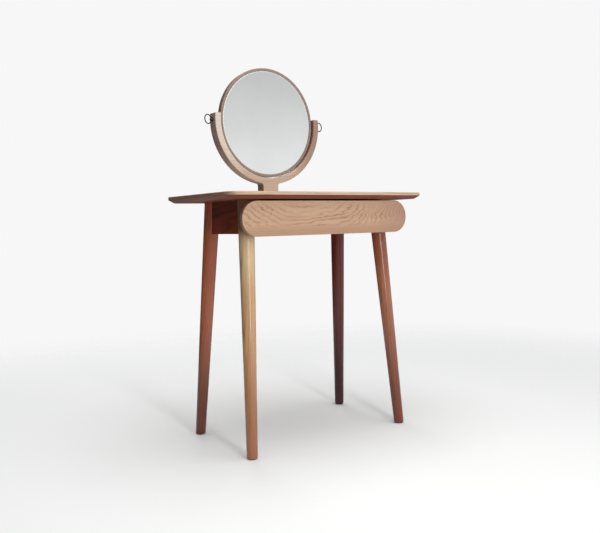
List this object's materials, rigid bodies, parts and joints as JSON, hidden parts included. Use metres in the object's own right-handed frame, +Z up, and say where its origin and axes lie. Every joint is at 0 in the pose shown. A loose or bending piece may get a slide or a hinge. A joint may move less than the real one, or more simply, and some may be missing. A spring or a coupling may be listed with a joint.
{
  "type": "dressing table with tilting mirror",
  "caption": "Splayed-leg wooden dressing table with a round-ended drawer and a round mirror tilting in a U-shaped yoke.",
  "frame": {"origin": "on the floor, under the middle of the table top", "axes": "+X to the right along the front, +Y to the back, +Z up; the drawer opens towards -Y"},
  "size_m": [0.72, 0.41, 1.1735],
  "materials": {
    "top_wood": "satin clear lacquer",
    "leg_wood": "satin clear lacquer",
    "apron_wood": "satin clear lacquer",
    "front_wood": "satin clear lacquer",
    "mirror_wood": "satin clear lacquer",
    "box_wood": "sanded, thin clear lacquer",
    "panel_wood": "plywood, thin clear lacquer",
    "mirror_glass": "silvered behind, polished edge",
    "glide_plastic": "moulded",
    "washer_plastic": "moulded",
    "bush_brass": "turned",
    "dark_metal": "dark slate coating, semi-gloss",
    "plated_steel": "zinc plated"
  },
  "bodies": {
    "table": {"top_panel": "top_wood", "leg_front_left": "leg_wood", "leg_front_right": "leg_wood", "leg_rear_left": "leg_wood", "leg_rear_right": "leg_wood", "foot_glides": "glide_plastic", "apron_left": "apron_wood", "apron_right": "apron_wood", "apron_back": "apron_wood", "rail_front": "apron_wood", "top_brackets": "plated_steel", "bracket_screws": "plated_steel", "batten_left": "box_wood", "batten_right": "box_wood", "batten_screws": "plated_steel", "slide_outer_left": "plated_steel", "slide_outer_right": "plated_steel", "slide_screws": "plated_steel", "yoke": "mirror_wood", "yoke_bolts": "dark_metal", "yoke_washers": "plated_steel", "yoke_bushes": "bush_brass", "pivot_washers": "washer_plastic"},
    "slide_left": {"slide_middle_left": "plated_steel"},
    "slide_right": {"slide_middle_right": "plated_steel"},
    "drawer": {"drawer_front": "front_wood", "drawer_side_left": "box_wood", "drawer_side_right": "box_wood", "drawer_box_front": "box_wood", "drawer_back": "box_wood", "drawer_bottom": "panel_wood", "drawer_front_screws": "plated_steel", "slide_inner_left": "plated_steel", "slide_inner_right": "plated_steel", "drawer_slide_screws": "plated_steel"},
    "mirror": {"mirror_frame": "mirror_wood", "mirror_glass": "mirror_glass", "mirror_back": "panel_wood", "mirror_back_screws": "plated_steel", "mirror_bushes": "bush_brass"},
    "screw_left": {"pivot_screw_left": "dark_metal"},
    "screw_right": {"pivot_screw_right": "dark_metal"},
    "ring_left": {"pull_ring_left": "dark_metal"},
    "ring_right": {"pull_ring_right": "dark_metal"}
  },
  "joints": [
    {"name": "drawer_slide", "type": "slide", "parent": "table", "child": "drawer", "axis": [0, -1, 0], "range_m": [0, 0.19]},
    {"name": "slide_left_travel", "type": "slide", "parent": "table", "child": "slide_left", "axis": [0, -1, 0], "range_m": [0, 0.095]},
    {"name": "slide_right_travel", "type": "slide", "parent": "table", "child": "slide_right", "axis": [0, -1, 0], "range_m": [0, 0.095]},
    {"name": "mirror_tilt", "type": "hinge", "parent": "table", "child": "mirror", "pos_m": [0, 0.165, 0.9945], "axis": [1, 0, 0], "continuous": true},
    {"name": "screw_left_turn", "type": "hinge", "parent": "table", "child": "screw_left", "pos_m": [-0.2, 0.165, 0.9945], "axis": [1, 0, 0], "continuous": true},
    {"name": "screw_right_turn", "type": "hinge", "parent": "table", "child": "screw_right", "pos_m": [0.2, 0.165, 0.9945], "axis": [1, 0, 0], "continuous": true},
    {"name": "ring_left_swing", "type": "hinge", "parent": "screw_left", "child": "ring_left", "pos_m": [-0.208, 0.165, 0.9945], "axis": [0, 0, 1], "range_deg": [-104, 66]},
    {"name": "ring_right_swing", "type": "hinge", "parent": "screw_right", "child": "ring_right", "pos_m": [0.208, 0.165, 0.9945], "axis": [0, 0, 1], "range_deg": [-100, 70]}
  ],
  "couplings": [
    {"joint": "slide_left_travel", "follows": "drawer_slide", "ratio": 0.5},
    {"joint": "slide_right_travel", "follows": "drawer_slide", "ratio": 0.5}
  ]
}
